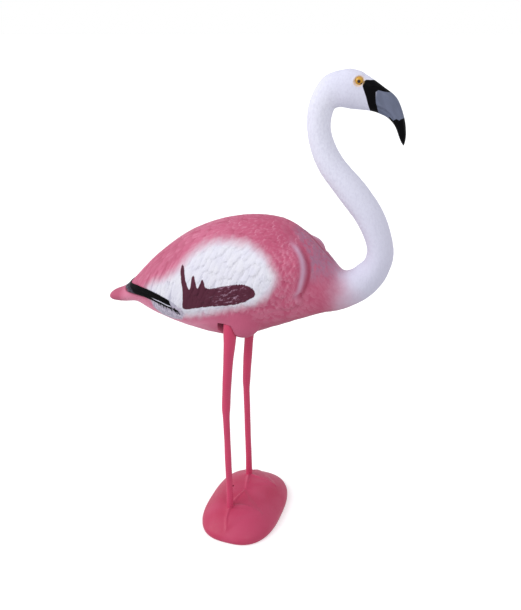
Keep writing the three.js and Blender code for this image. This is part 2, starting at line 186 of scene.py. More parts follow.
def rail(points):
    """A smooth curve through points, whose parameter counts them from 0."""
    points = np.asarray(points, float)
    padded = np.vstack([2 * points[0] - points[1], points, 2 * points[-1] - points[-2]])

    def at(place):
        place = np.asarray(place, float)
        span = np.clip(np.floor(place).astype(int), 0, len(points) - 2)
        t = (place - span)[..., None]
        p0, p1, p2, p3 = (padded[span + step] for step in range(4))
        leave, arrive = (p2 - p0) / 2, (p3 - p1) / 2
        cubic = 2 * p1 - 2 * p2 + leave + arrive
        square = -3 * p1 + 3 * p2 - 2 * leave - arrive
        return cubic * t**3 + square * t**2 + leave * t + p1

    return at


def softened(outline, steps=4):
    """A closed outline with its corners rounded into a curve through its points."""
    looped = rail(list(outline[-1:]) + list(outline) + list(outline[:2]))
    return looped(1 + np.arange(len(outline) * steps) / steps)


def signed_distance(points, outline):
    """Distance from each point to a closed outline, positive inside it."""
    start = np.asarray(outline, float)
    edge = np.roll(start, -1, axis=0) - start
    away = points[:, None] - start[None]
    share = np.clip((away * edge).sum(-1) / (edge**2).sum(-1), 0, 1)
    distance = np.linalg.norm(away - share[..., None] * edge, axis=-1).min(1)
    run = np.where(edge[:, 1] == 0, 1, edge[:, 1])
    is_left = away[..., 0] < edge[:, 0] * away[..., 1] / run
    crossings = (((away[..., 1] >= 0) != (away[..., 1] >= edge[:, 1])) & is_left).sum(1)
    return np.where(crossings % 2 == 1, distance, -distance)


def hashed(one, other, salt):
    """A repeatable number from 0 to 1 for a pair of whole numbers."""
    value = np.sin(one * 127.1 + other * 311.7 + salt * 74.7) * 43758.5453
    return value - np.floor(value)


def lumps(points, size, salt=0):
    """Smooth noise from 0 to 1 over points, with lumps of that size."""
    cell = np.floor(points / size)
    inside = points / size - cell
    inside = inside * inside * (3 - 2 * inside)
    total = np.zeros(len(points))
    for corner in np.ndindex(2, 2, 2):
        corner = np.array(corner)
        at = cell + corner
        value = hashed(at[:, 0] + 57 * at[:, 2], at[:, 1], salt)
        total += value * np.prod(np.where(corner, inside, 1 - inside), axis=1)
    return total


# ---- Meshes --------------------------------------------------------------------------
def stitch(count_a, count_b):
    """Triangles between two rings with any numbers of points, as steps along each ring."""
    ends_a = (np.arange(count_a) + 1) / count_a
    ends_b = (np.arange(count_b) + 1) / count_b
    at_b = np.searchsorted(ends_b, ends_a, side="left")
    at_a = np.searchsorted(ends_a, ends_b, side="right")
    step_a, step_b = np.arange(count_a), np.arange(count_b)
    from_a = np.stack([step_a, step_a + 1, at_b], 1)
    from_b = np.stack([at_a, step_b + 1, step_b], 1)
    return from_a, from_b


class Loft:
    """A closed mesh over rings of points. Ring i has counts[i] points, the first at share 0."""

    def __init__(self, counts):
        self.counts = np.asarray(counts)
        self.starts = np.concatenate([[0], np.cumsum(self.counts)])
        self.ring = np.repeat(np.arange(len(self.counts)), self.counts)
        self.share = np.concatenate([np.arange(count) / count for count in self.counts])
        self.tris, self.corner_rings, self.corner_shares = self._stitched()

    def _stitched(self):
        tris, rings, shares = [], [], []
        for ring in range(len(self.counts) - 1):
            count_a, count_b = self.counts[ring], self.counts[ring + 1]
            start_a, start_b = self.starts[ring], self.starts[ring + 1]
            from_a, from_b = stitch(count_a, count_b)
            for steps, in_b in ((from_a, (0, 0, 1)), (from_b, (0, 1, 1))):
                in_b = np.array(in_b)
                count = np.where(in_b, count_b, count_a)
                tris.append(np.where(in_b, start_b, start_a) + steps % count)
                rings.append(np.broadcast_to(ring + in_b, steps.shape))
                shares.append(steps / count)
        return np.concatenate(tris), np.concatenate(rings), np.concatenate(shares)

    def closed(self, points):
        """The points and triangles with a fan over each end, facing outwards."""
        fans, middles = [], []
        for ring, turn in ((0, 1), (len(self.counts) - 1, -1)):
            start, count = self.starts[ring], self.counts[ring]
            step = np.arange(count)
            centre = len(points) + len(middles)
            middles.append(points[start : start + count].mean(0))
            fans.append(np.stack([np.full(count, centre), start + (step + (turn < 0)) % count,
                                  start + (step + (turn > 0)) % count], 1))
        points = np.vstack([points, middles])
        tris = np.vstack([self.tris, *fans])
        a, b, c = (points[tris[:, corner]] for corner in range(3))
        self.order = -1 if (a * np.cross(b, c)).sum() < 0 else 1  # of each triangle's corners
        return points, tris[:, :: self.order]

    def uv(self, ring_u, ring_span):
        """A closed loft's unrolled map: u along the rings, and v round each as far as its span."""
        u = ring_u[self.corner_rings]
        v = 0.5 + (self.corner_shares - 0.5) * ring_span[self.corner_rings]
        end = np.full((self.counts[0] + self.counts[-1], 3), 0.001)
        return np.stack([np.vstack([u, end]), np.vstack([v, end])], -1)[:, :: self.order]


def added(name, data):
    """A new object in the scene."""
    made = bpy.data.objects.new(name, data)
    bpy.context.scene.collection.objects.link(made)
    return made


def make_piece(name, shape, attributes, nodes, material, uv=None, flat_ends=0, place=BIRD_PLACE):
    """A smooth piece in place of its CAD nodes, from points in millimetres and triangles, the
    last flat_ends of which are flat. Points past an attribute's end take its last value."""
    points, tris = shape
    mesh = bpy.data.meshes.new(name)
    mesh.vertices.add(len(points))
    placed = (np.asarray(points) + place) * MM
    mesh.vertices.foreach_set("co", placed.astype(np.float32).ravel())
    mesh.loops.add(tris.size)
    mesh.loops.foreach_set("vertex_index", tris.astype(np.int32).ravel())
    mesh.polygons.add(len(tris))
    mesh.polygons.foreach_set("loop_start", np.arange(0, tris.size, 3, dtype=np.int32))
    mesh.polygons.foreach_set("use_smooth", np.arange(len(tris)) < len(tris) - flat_ends)
    mesh.update(calc_edges=True)
    if uv is not None:
        mesh.uv_layers.new(name="OFBake").data.foreach_set("uv", uv.astype(np.float32).ravel())
    for key, values in attributes.items():
        padded = np.concatenate([values, np.repeat(values[-1:], len(points) - len(values))])
        mesh.attributes.new(key, "FLOAT", "POINT").data.foreach_set("value", padded.astype(np.float32))
    mesh.materials.append(material)
    piece = added(name, mesh)
    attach(piece, "root")
    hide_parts(*nodes)


def outward_normals(points, tris, way):
    """Unit normals at the points, on the side that the ways out are on."""
    a, b, c = (points[tris[:, corner]] for corner in range(3))
    faces = np.cross(b - a, c - a)
    normals = np.zeros_like(points)
    for corner in range(3):
        for axis in range(3):
            normals[:, axis] += np.bincount(tris[:, corner], faces[:, axis], len(points))
    normals /= np.maximum(np.linalg.norm(normals, axis=1, keepdims=True), 1e-12)
    return normals * np.sign((normals * way).sum(1).mean())


# ---- The bird's surface --------------------------------------------------------------
BACK = rail([section[1] for section in SECTIONS])
BELLY = rail([section[2] for section in SECTIONS])
SHAPE = rail([(section[3], section[4]) for section in SECTIONS])


def ring_points(place, share):
    """Points of the smooth body, the way out from their section's middle, and its length.

    share goes once round a section from the belly, past the left side and the back.
    """
    back, belly, shape = BACK(place), BELLY(place), SHAPE(place)
    centre = mix(belly, back, shape[:, 1:])
    angle = (share - 0.25) * 2 * math.pi
    rise = np.sin(angle)[:, None]
    arm = np.where(rise > 0, back - centre, belly - centre) * np.abs(rise)
    arm = np.stack([arm[:, 0], shape[:, 0] * np.cos(angle), arm[:, 1]], 1)
    middle = np.stack([centre[:, 0], np.zeros(len(place)), centre[:, 1]], 1)
    length = np.linalg.norm(arm, axis=1)
    return middle, arm / np.maximum(length, 1e-9)[:, None], length


def wing_rise(bare):
    """Height of the wing over the body before its edges are shaped."""
    x, y, z = bare.T
    front = mix(WING_RISE, SHOULDER_RISE, smooth(x, 20, 135))
    height = mix(FLIGHT_RISE, front, smooth(x, -150, -90))
    height += BULGE_RISE * oval(x, np.abs(y), BULGE_PLACE, BULGE_REACH)
    lower_edge = mix(FADE_FROM[1], FADE_TO[1], (x - FADE_FROM[0]) / (FADE_TO[0] - FADE_FROM[0]))
    crisp = np.maximum(1 - smooth(x, -150, -60), smooth(x, 85, 112))
    lower = np.maximum(smooth(z, lower_edge, lower_edge + LOWER_FADE), crisp)
    elbow = mix(1, mix(0.22, 1, smooth(z, 500, 570)), smooth(x, 40, 100))
    upper = 1 - smooth(z, 562, 606) * smooth(x, -60, 20)
    tips_end = WING_END + 0.029 * np.minimum(np.abs(y), 28) ** 2
    rear = smooth(x, tips_end, tips_end + 3) * mix(smooth(np.abs(y), 8, 36), 1, smooth(x, 20, 60))
    return height * lower * upper * elbow * rear


def thigh_lift(middle, way, length):
    """How far the thighs' soft lobes stand out beyond the body."""
    centre = np.stack([np.full(len(middle), THIGH["x"]), np.sign(way[:, 1]) * THIGH["y"],
                       np.full(len(middle), THIGH["z"])], 1)
    radii = np.array(THIGH["radii"])
    start, step = (middle - centre) / radii, way / radii
    a, b, c = (step * step).sum(1), (start * step).sum(1), (start * start).sum(1) - 1
    inside = b * b - a * c
    reach = np.where(inside > 0, (-b + np.sqrt(np.maximum(inside, 0))) / a, 0)
    over = reach - length
    blend = THIGH["blend"]
    return np.maximum(over, 0) + blend * np.maximum(1 - np.abs(over) / blend, 0) ** 2 / 4


# ---- The skin ------------------------------------------------------------------------
def ring_places(start, end, spacing):
    """Places of rings no further apart than spacing(place), in millimetres."""
    fine = np.linspace(start, end, 6000)
    back, belly = BACK(fine), BELLY(fine)
    lines = back, belly, (back + belly) / 2
    moved = [np.linalg.norm(np.diff(line, axis=0), axis=1) for line in lines]
    cost = np.concatenate([[0], np.cumsum(np.max(moved, axis=0) / spacing(fine[:-1]))])
    return np.interp(np.linspace(0, cost[-1], math.ceil(cost[-1]) + 1), cost, fine)


def skin_spacing(place):
    return mix(mix(1.8, 2.2, smooth(place, 10.5, 12)), 1.15, smooth(place, 20, 21))


def ring_counts(places, spacing):
    """Points for each ring, in steps of an eighth, so that most neighbours match."""
    back, belly, shape = BACK(places), BELLY(places), SHAPE(places)
    half_height = np.linalg.norm(back - belly, axis=1) / 2
    half_width = shape[:, 0]
    girth = math.pi * (3 * (half_width + half_height)
                       - np.sqrt((3 * half_width + half_height) * (half_width + 3 * half_height)))
    wanted = girth / spacing(places)
    ladder = 16 * 1.125 ** np.arange(40)
    return (np.round(ladder[np.searchsorted(ladder, wanted)] / 4) * 4).astype(int), girth


class BodyLoft(Loft):
    """Rings round the smooth body, between two places on it."""

    def __init__(self, start, end, ring_spacing, point_spacing):
        places = ring_places(start, end, ring_spacing)
        counts, self.girth = ring_counts(places, point_spacing)
        super().__init__(counts)
        self.place = places[self.ring]
        self.middle, self.way, self.length = ring_points(self.place, self.share)


def chart(loft, points):
    """Each point's distance along the bird's middle and round from its back line."""
    middle = np.stack([np.bincount(loft.ring, points[:, axis]) / loft.counts for axis in (0, 2)], 1)
    step = np.linalg.norm(np.diff(middle, axis=0), axis=1)
    along = np.concatenate([[0], np.cumsum(step)])[loft.ring]
    around = np.zeros(len(points))
    for ring, count in enumerate(loft.counts):
        own = slice(loft.starts[ring], loft.starts[ring] + count)
        edge = points[own]
        sides = np.linalg.norm(np.roll(edge, -1, axis=0) - edge, axis=1)
        run = np.concatenate([[0], np.cumsum(sides)[:-1]])
        around[own] = np.abs(run - run[count // 2])
    return along, around


def wing_lie(along, around):
    """The way the wing's feathers point: 0 towards the tail, a quarter turn straight down."""
    steep = mix(0.15, 1.25, smooth(around, 25, 95))
    return steep * mix(0.6, 1, smooth(along, 20, 100))


def rear_lie(along, around):
    return 1.4 * smooth(around, 10, 90)


# Spacing of the rows and columns, the feathers' length, width and softness of edge, the way
# the rows as a whole go down, the way each feather lies, and the salt of their numbers.
FEATHERS = {
    "wing": (24, 11, 40, 15, 2.6, 1.2, wing_lie, 3),
    "rear": (40, 8.5, 70, 11, 2, 1.35, rear_lie, 31),
    "back": (15, 12, 26, 16, 1.8, 0.15, lambda along, around: 0.15, 11),
    "net": (11, 8.5, 18, 12, 1.7, 1.05, lambda along, around: 1.05, 5),
    "tips": (13, 9.5, 26, 12, 1.8, 1.4, lambda along, around: 1.4, 23),
    "neck": (9, 6, 15, 7.5, 1.8, 0.1, lambda along, around: 0.1, 17),
}
CREASE_DEPTH = 0.28  # as a share of a feather's height
RELIEF = {"wing": 2.9, "rear": 1.2, "net": 2.1, "belly": 0.9}
SUNK = 0.9  # how far the wing's surface is lowered, so that its feathers end level with it
STRIP_BED = -1.4  # the skin's height under the black feathers


def feathers(along, around, side, kind):
    """Overlapping moulded feathers, which lie towards the tail at an angle of 0 and
    straight down at a quarter turn. Returns their height with a crease between each two,
    how near each point is to its feather's tip edge, and the feather's own number."""
    rows, columns, length, width, softness, down_angle, lie, salt = FEATHERS[kind]
    cosine, sine = math.cos(down_angle), math.sin(down_angle)
    down, wide = around * sine - along * cosine, around * cosine + along * sine
    best, second, tip, number = np.zeros((4, len(along)))
    base_row = np.round(down / rows)
    for row_step in range(-2, 3):
        row = base_row + row_step
        shift = np.mod(row, 2) / 2
        base_column = np.round(wide / columns - shift)
        for column_step in range(-2, 3):
            column = base_column + column_step
            own = hashed(column, row + 500 * side, salt)
            other = hashed(column, row + 500 * side, salt + 1)
            at_down = (row + (other - 0.5) * 0.6) * rows
            at_wide = (column + shift + (own - 0.5) * 0.4) * columns
            at_along, at_around = at_wide * sine - at_down * cosine, at_down * sine + at_wide * cosine
            angle = lie(at_along, at_around) + (own - 0.5) * 0.35
            right, below = along - at_along, around - at_around
            tipward = below * np.sin(angle) - right * np.cos(angle)
            across = right * np.sin(angle) + below * np.cos(angle) + 0.9 * np.sin(tipward / 5 + 6 * own)
            past = np.maximum(tipward - (length - width) / 2, 0)
            depth = width / 2 * (0.85 + 0.3 * other) - np.hypot(past, across)
            lift = 0.1 + 0.9 * np.clip(tipward / length + 0.5, 0, 1)
            height = smooth(depth, -0.3, softness) * lift * (1 - 0.35 * (across / (width / 2)) ** 2)
            edge = bell(depth - 1.0, 1.1) * smooth(tipward, 0, length * 0.4)
            wins = height > best
            second = np.where(wins, best, np.maximum(second, height))
            best, tip, number = np.where(wins, [height, edge, own], [best, tip, number])
    crease = bell(best - second, 0.07) * smooth(best, 0.1, 0.3)
    return best - CREASE_DEPTH * crease, tip, number


def near_eye(points):
    return np.hypot(points[:, 0] - EYE["x"], points[:, 2] - EYE["z"])


def mantle_seam(bare):
    """The crease between the mantle and the left shoulder, along the top of the mantle."""
    x, y, _ = bare.T
    return bell(y - 6, 3.5) * smooth(x, 108, 128) * smooth(x, 178, 164)


def wing_shape(bare, middle, way, length, place):
    """How far the folded wings and thighs stand out, and the distance inside a wing's edge."""
    x, y, z = bare.T
    outline = WING_SHOULDER + WING_ELBOW + WING_LOWER + FLIGHT_LOWER[-2::-1] + WING_UPPER
    forward = LEFT_FORWARD * smooth(y, 4, 20) * smooth(x, 80, 120)
    inside = signed_distance(np.stack([x - forward, z], 1), softened(outline, 3))
    is_body = smooth(place, 1.2, 1.8) * smooth(place, 11.8, 11.2)
    is_front = smooth(x, 62, 96)
    rise = wing_rise(bare) * mix(smooth(inside, 1.0, 3.5), quarter_round(inside / WING_RIM), is_front)
    is_side = smooth(np.abs(y), 9, 26)
    groove = GROOVE_DEPTH * bell(inside + 2, 4) * (1 - 0.6 * smooth(z, 578, 602) * (y < 0))
    rise = (rise - groove * is_front * is_side - SEAM_DEPTH * mantle_seam(bare)) * is_body
    thigh = thigh_lift(middle, way, length) * smooth(place, 10.5, 9.5) * smooth(place, 4, 5)
    return rise + thigh, inside, is_body, is_front * is_side


def relief_of(points, bare, along, around, place, inside, is_body, patch, strip):
    """Height of the moulded feathers over the surface, and how near each point is to the
    edge of a feather's tip, painted lighter there both as tone and as painted glints."""
    x, y, z = bare.T
    wide, long, low, net, tips, small = (feathers(along, around, np.sign(y), kind) for kind in FEATHERS)
    on_rear = smooth(x, -45, -108)
    relief = mix(wide[0] * RELIEF["wing"], long[0] * RELIEF["rear"], on_rear) * smooth(inside, -2, 8)
    relief *= mix(0.4, 1, smooth(patch, -22, 4))
    on_back = smooth(around, 95, 45) * smooth(place, 10.6, 9.6)
    relief = mix(relief, low[0] * mix(0.3, 0.8, smooth(x, -120, -20)), on_back)
    on_net = smooth(oval(x, z, (98, 560), (34, 46)), 0.25, 0.7) * smooth(inside, 7, 14)
    relief = mix(relief, net[0] * RELIEF["net"], on_net)
    on_tips = smooth(x, 30, 66) * smooth(z, 540, 518) * smooth(inside, -36, -12)
    relief = mix(relief, tips[0] * mix(1.0, 2.0, smooth(inside, -10, 4)), on_tips)
    on_neck = smooth(place, 8.8, 10.5) * smooth(place, 22, 20.6) * (1 - smooth(inside, -4, 2) * is_body)
    small_height = mix(0.7, 0.5, smooth(place, 11, 12))
    relief = relief * is_body + small[0] * small_height * on_neck * (1 - on_tips)
    below = is_body * smooth(inside, 0, -10) * (1 - on_back) * (1 - on_neck)
    relief += (lumps(points, 11, 2) - 0.5) * RELIEF["belly"] * below
    relief -= SUNK * is_body * smooth(inside, -2, 8)
    relief = mix(relief, STRIP_BED, smooth(strip, -1.5, 1) * is_body)
    arcs = low[1] * on_back * smooth(low[2], 0.7, 0.8) * smooth(x, -60, 10)
    pale_edge_glint = np.maximum.reduce([arcs, tips[1] * on_tips * 0.45, net[1] * on_net * 0.6])
    return relief, pale_edge_glint * is_body


def head_relief(points, place):
    """A socket with a raised rim for each eye, a brow over it, and a soft cheek."""
    from_eye = near_eye(points)
    on_head = smooth(place, 21.5, 22.2) * smooth(place, 23.95, 23.5)
    rim = 0.6 * bell(from_eye - 8.2, 1.3)
    socket = 2.2 * smooth(from_eye, 7.6, 5.8)
    brow = 0.9 * oval(points[:, 0], points[:, 2], (197, 873), (14, 3.5))
    cheek = oval(points[:, 0], points[:, 2], (185, 840), (14, 11))
    return on_head * (rim - socket + brow + cheek)


def cut_sockets(points, side):
    """Pushes the belly up inside each leg's socket. Returns 1 for what lies in a socket."""
    snap = 1.3  # points this near to a socket's edge move onto it
    away = np.stack([points[:, 0] - SOCKET["x"], points[:, 1] - side * LEG_TRACK], 1)
    radius = np.linalg.norm(away, axis=1)
    is_under = points[:, 2] < SOCKET["top"]
    at_rim = is_under & (np.abs(radius - SOCKET["radius"]) < snap)
    scale = np.where(at_rim, SOCKET["radius"] / np.maximum(radius, 1), 1)
    points[:, 0] = SOCKET["x"] + away[:, 0] * scale
    points[:, 1] = side * LEG_TRACK + away[:, 1] * scale
    is_in = is_under & (radius < SOCKET["radius"] - snap)
    points[is_in, 2] = SOCKET["top"]
    return is_in.astype(float)


def make_skin(material):
    """The whole bird as one moulding, from the tip of the tail to the root of the bill."""
    loft = BodyLoft(0, PLACE["bill root"], skin_spacing, skin_spacing)
    place, middle, way, length = loft.place, loft.middle, loft.way, loft.length
    bare = middle + way * length[:, None]
    along, around = chart(loft, bare)
    x, y, z = bare.T
    lift, inside, is_body, is_front = wing_shape(bare, middle, way, length, place)
    rounding = quarter_round(np.maximum(place / 0.45, 0.08))
    points = middle + way * ((length + lift) * rounding)[:, None]
    seen = points[:, [0, 2]]
    patch = signed_distance(seen, softened(WHITE_PATCH))
    strip = signed_distance(seen, FLIGHT_UPPER + FLIGHT_LOWER)
    normals = outward_normals(points, loft.tris, way)
    relief, pale_edge_glint = relief_of(points, bare, along, around, place, inside, is_body, patch, strip)
    points += normals * (relief + head_relief(points, place))[:, None]
    socket = cut_sockets(points, np.sign(bare[:, 1]))

    # Painted shade in the groove before each shoulder, lighter on the far shoulder's top, and in the
    # mantle's seam.
    far_top = smooth(z, 578, 602) * (y < 0)
    groove = is_front * bell(inside + 2.5, 3) * smooth(z, 500, 530) * (1 - 0.7 * far_top)
    mantle = smooth(-inside, 3, 8) * smooth(z, 530, 568) * smooth(x, 92, 116)
    off_body = 99 * (1 - is_body)
    off_face = 99 * smooth(place, 22.6, 22.5)
    attributes = {
        "patch": patch - off_body,
        "maroon": signed_distance(seen, softened(MAROON, 2)) - off_body,
        "under": signed_distance(seen, UNDERTAIL) - off_body,
        "neck": np.interp(place, [9.9, 11.1, 13.2], [0, 0.45, 1]),
        # where the shoulder's raised rim is painted mauve as a highlight
        "crest_highlight": is_front * is_body * bell(inside - 4, 3.4) * smooth(x, 96, 120) * smooth(z, 500, 545),
        # painted shade in the shoulder's groove and the mantle's seam
        "groove": np.maximum(groove, mantle_seam(bare)) * is_body,
        # painted shadow just below the rear of the black feathers
        "strip_shadow": bell(strip + 2.5, 2.5) * smooth(-x, 165, 185) * smooth(z, 490, 482) * is_body,
        "mantle": mantle * smooth(place, 12, 11.2),
        "relief": relief,
        "pale_edge_glint": pale_edge_glint,
        "wing": smooth(inside, -2, 8) * is_body,
        "steep": smooth(around, 40, 100),
        "place": place,
        "face": signed_distance(seen, FACE_BLACK) - off_face,
        "eye": near_eye(points) + off_face,
        "socket": socket,
    }
    shape = loft.closed(points)
    total = along.max() * 1.05
    uv = loft.uv(0.01 + along[loft.starts[:-1]] / total, loft.girth * 1.1 / total)
    nodes = ["tail", "trunk", "wing_right", "wing_left"]
    nodes += ["neck_lower", "neck_middle", "neck_upper", "head"]
    make_piece("skin", shape, attributes, nodes, material, uv, loft.counts[-1])


# ---- Flight feathers -----------------------------------------------------------------
FLIGHT_FROM, FLIGHT_TO = 1.95, 5.06  # places of the strip's two ends
BRISTLES = 18
HIGHLIGHT_LINE = 0.62  # how far down the strip its thin white line runs, a painted highlight along the free edge


def raised_points(place, share, rise):
    """Points of the body under the wing (rise 0) or of the wing's own surface (rise 1)."""
    middle, way, length = ring_points(place, share)
    bare = middle + way * length[:, None]
    return bare + way * (rise * wing_rise(bare))[:, None], way


def share_at(place, outline, side, rise):
    """Where round the section at place an outline seen from the side crosses the surface."""
    shares = 0.5 - side * np.linspace(0.42, 0.004, 240)
    points, _ = raised_points(np.full(len(shares), place), shares, rise)
    order = np.argsort([x for x, _ in outline])
    over = points[:, 2] - np.interp(points[:, 0], *np.array(outline, float)[order].T)
    step = max(np.argmax(over > 0), 1)
    if over[step] <= 0:
        return shares[-1]
    part = over[step - 1] / (over[step - 1] - over[step])
    return mix(shares[step - 1], shares[step], np.clip(part, 0, 1))


def tube(path, radii, sides=6):
    """A closed tube along a short path, tapering as its radii say."""
    path = np.asarray(path, float)
    ahead = np.gradient(path, axis=0)
    ahead /= np.linalg.norm(ahead, axis=1, keepdims=True)
    flat = np.cross(ahead, [0.1, 1.0, 0.2])
    flat /= np.linalg.norm(flat, axis=1, keepdims=True)
    over = np.cross(ahead, flat)
    turn = turns(sides)
    rings = path[:, None] + np.asarray(radii)[:, None, None] * (
        flat[:, None] * np.cos(turn)[None, :, None] + over[:, None] * np.sin(turn)[None, :, None])
    return Loft([sides] * len(path)).closed(rings.reshape(-1, 3))


def joined(parts):
    """Several meshes as one list of points and one of triangles."""
    starts = np.cumsum([0] + [len(points) for points, _ in parts[:-1]])
    return (np.vstack([points for points, _ in parts]),
            np.vstack([tris + start for (_, tris), start in zip(parts, starts)]))


def flight_strip(side):
    """Overlapping vanes with a free lower edge, closed by a back buried in the bird."""
    rows, lanes = 260, 30
    down = np.linspace(0, 1, lanes)
    rings = []
    for row in np.linspace(0, 1, rows):
        place = mix(FLIGHT_FROM + 0.8 * down**2, FLIGHT_TO - 0.12 * (1 - down), row)
        top = share_at(place[0], FLIGHT_UPPER, side, 1)
        bottom = share_at(place[-1], FLIGHT_LOWER, side, 1)
        points, way = raised_points(place, mix(top, bottom, down), 1)
        vane = (down * 3 + row * 1.5) % 1
        ends = smooth(row, 0, 0.04) * smooth(row, 1, 0.95)
        lift = (0.8 + 0.4 * smooth(down, 0, 0.25) + 0.5 * vane**3) * ends - 0.6
        outer = points + way * (lift - 2.2 * (1 - quarter_round((1 - down) / 0.12)))[:, None]
        inner = points[::-1] - way[::-1] * mix(9.5, 5, smooth(down[::-1], 1, 0.4))[:, None]
        rings.append(np.vstack([outer, inner]))
    lane = np.concatenate([down, down[::-1]])
    attributes = {"down": np.tile(lane, rows), "row": np.repeat(np.linspace(0, 1, rows), 2 * lanes)}
    return Loft([2 * lanes] * rows).closed(np.vstack(rings)), attributes


def bristle(side, index):
    """One fine barb that fans out from under the strip over the pale undertail."""
    number = index / (BRISTLES - 1)
    start = mix(FLIGHT_TO - 0.6, FLIGHT_TO + 0.05, number)
    top = share_at(start, FLIGHT_LOWER, side, 1)
    reach = 0.008 + 0.014 * hashed(index, side, 41) + 0.01 * number**3
    slant = mix(0.02, 0.16, hashed(index, side, 43)) + 0.1 * number**3
    share = top - side * np.linspace(-0.012, reach, 7)
    points, way = raised_points(start + np.linspace(0, slant, 7), share, 0.4)
    return tube(points + way * 0.3, np.linspace(1.4, 0.4, 7))


def make_flight(name, side, material):
    """One side's black feathers with the barbs that show below them."""
    strip, attributes = flight_strip(side)
    shape = joined([strip] + [bristle(side, index) for index in range(BRISTLES)])
    make_piece(name, shape, attributes, [name], material)


# ---- Bill ----------------------------------------------------------------------------
BILL_SPACING = 0.85
MOUTH_LEVEL = 0.24
NOSTRIL = [(221.5, 854), (225, 854.8), (228, 853.4)]


def make_bill(material):
    """The bill from its root to its hooked tip, with the mouth's groove and the nostrils."""
    root, tip = PLACE["bill root"], PLACE["bill tip"]

    def ring_spacing(place):
        return BILL_SPACING * mix(1, 0.4, smooth(place, tip - 0.6, tip - 0.2))

    loft = BodyLoft(root, tip, ring_spacing, lambda place: BILL_SPACING)
    place = loft.place
    rounding = quarter_round(np.maximum((tip - place) / 0.5, 0.01))
    points = loft.middle + loft.way * (loft.length * rounding)[:, None]
    back, belly = BACK(place), BELLY(place)
    depth = back - belly
    level = ((points[:, [0, 2]] - belly) * depth).sum(1) / (depth**2).sum(1)
    past_root = smooth(place, root + 0.15, root + 0.8) * smooth(place, tip - 0.4, tip - 1.2)
    mouth = 1.5 * bell(level - MOUTH_LEVEL, 0.035) * past_root
    lip = 0.6 * bell(level - MOUTH_LEVEL - 0.1, 0.05) * past_root
    keel = 0.5 * bell(level - 0.8, 0.08) * past_root
    seen = points[:, [0, 2]]
    along = np.array(NOSTRIL, float)
    slit = np.min([np.hypot(*(seen - mix(along[i], along[i + 1], share)).T)
                   for i in range(2) for share in (0, 0.25, 0.5, 0.75, 1)], axis=0)
    nostril = 0.8 * bell(slit, 1.0) - 0.35 * bell(slit - 1.9, 0.9)
    normals = outward_normals(points, loft.tris, loft.way)
    nostril *= smooth(np.abs(points[:, 1]), 3, 8)
    over_skin = 0.06 * smooth(place, root + 0.4, root)
    points = points + normals * (lip + keel - mouth - nostril + over_skin)[:, None]
    attributes = {
        "face": signed_distance(seen, FACE_BLACK),
        "tip": signed_distance(seen, BILL_TIP),
        "level": level,
        "place": place,
    }
    shape = loft.closed(points)
    uv = loft.uv(np.linspace(0.01, 0.61, len(loft.counts)), loft.girth / 200)
    make_piece("bill", shape, attributes, ["bill_upper", "bill_lower"], material, uv,
               loft.counts[0] + loft.counts[-1])


# ---- Eyes ----------------------------------------------------------------------------
PUPIL = {"x": 0.7, "z": -0.3, "radius": 2.2}  # from the eye's middle
EYE_CORNER = {"x": 5.2, "z": -4.6, "radius": 2.4}


def head_half_width():
    """How far out the smooth head is at the eye."""
    shares = np.linspace(0.26, 0.49, 400)
    middle, way, length = ring_points(np.full(400, PLACE["brow"] + 0.22), shares)
    points = middle + way * length[:, None]
    return abs(points[np.argmin(near_eye(points)), 1])


def make_eye(name, side, material):
    """A glossy ball, flat behind, whose front stands a little out of its socket."""
    surface, sink, rings, sides = head_half_width(), 5.0, 30, 48
    radius = EYE["radius"] - 0.3
    out = sink + EYE["bulge"] - 0.3
    share = np.sin(np.linspace(0.02, 1, rings) * math.pi / 2)[:, None]
    turn = turns(sides)[None]
    x, z = radius * share * np.cos(turn), radius * share * np.sin(turn)
    y = side * (surface - sink + out * np.sqrt(np.maximum(1 - share**2, 0))) + 0 * turn
    points = np.stack([EYE["x"] + x, y, EYE["z"] + z], -1).reshape(-1, 3)
    attributes = {
        "radius": np.hypot(x, z).ravel(),
        "pupil": np.hypot(x - PUPIL["x"], z - PUPIL["z"]).ravel(),
        "corner": np.hypot(x - EYE_CORNER["x"], z - EYE_CORNER["z"]).ravel(),
    }
    shape = Loft([sides] * rings).closed(points)
    make_piece(name, shape, attributes, [name], material, flat_ends=sides)


# ---- Legs ----------------------------------------------------------------------------
RIB_PITCH = 4.2
RIB_DEPTH = 0.42


def make_leg(name, side, material):
    """A tapering tube with moulded rings, which fade out towards its thick top."""
    path = rail(LEG_PATH)(np.linspace(0, len(LEG_PATH) - 1, 4000))
    height = path[0, 1] - path[:, 1]
    count = int(height[-1] / 0.7)
    level = np.linspace(0, height[-1], count)
    x, z, radius = (np.interp(level, height, path[:, axis]) for axis in (0, 1, 2))
    sides = 30
    ribs = level / RIB_PITCH + 0.35 * np.sin(level / 37) + 0.2 * np.sin(level / 9.1 + side)
    rib = np.abs(np.sin(math.pi * ribs)) ** 1.4
    rib *= smooth(level, 30, 110) * (0.75 + 0.25 * np.sin(level / 15 + 2 * side))
    turn = turns(sides)
    wave = 0.12 * np.sin(level / 21 + side) + 0.08 * np.sin(level / 9)
    seam = 0.28 * (bell(np.sin(turn / 2 - 0.05), 0.07) + bell(np.cos(turn / 2 + 0.05), 0.07))
    reach = (radius - RIB_DEPTH * rib + wave)[:, None] + seam[None]
    points = np.stack([x[:, None] + reach * np.cos(turn),
                       side * LEG_TRACK + reach * np.sin(turn),
                       np.broadcast_to(z[:, None], reach.shape)], -1).reshape(-1, 3)
    loft = Loft([sides] * count)
    shape = loft.closed(points)
    uv = loft.uv(0.01 + 0.98 * level / level[-1], np.full(count, 0.12))
    make_piece(name, shape, {"rib": np.repeat(rib, sides)}, [name], material, uv, 2 * sides)


# ---- Base ----------------------------------------------------------------------------
BASE_SPACING = 1.6
BASE_SHOULDER = 4  # how far the dome's rim rounds down to the side wall
RIM_FROM = 0.94


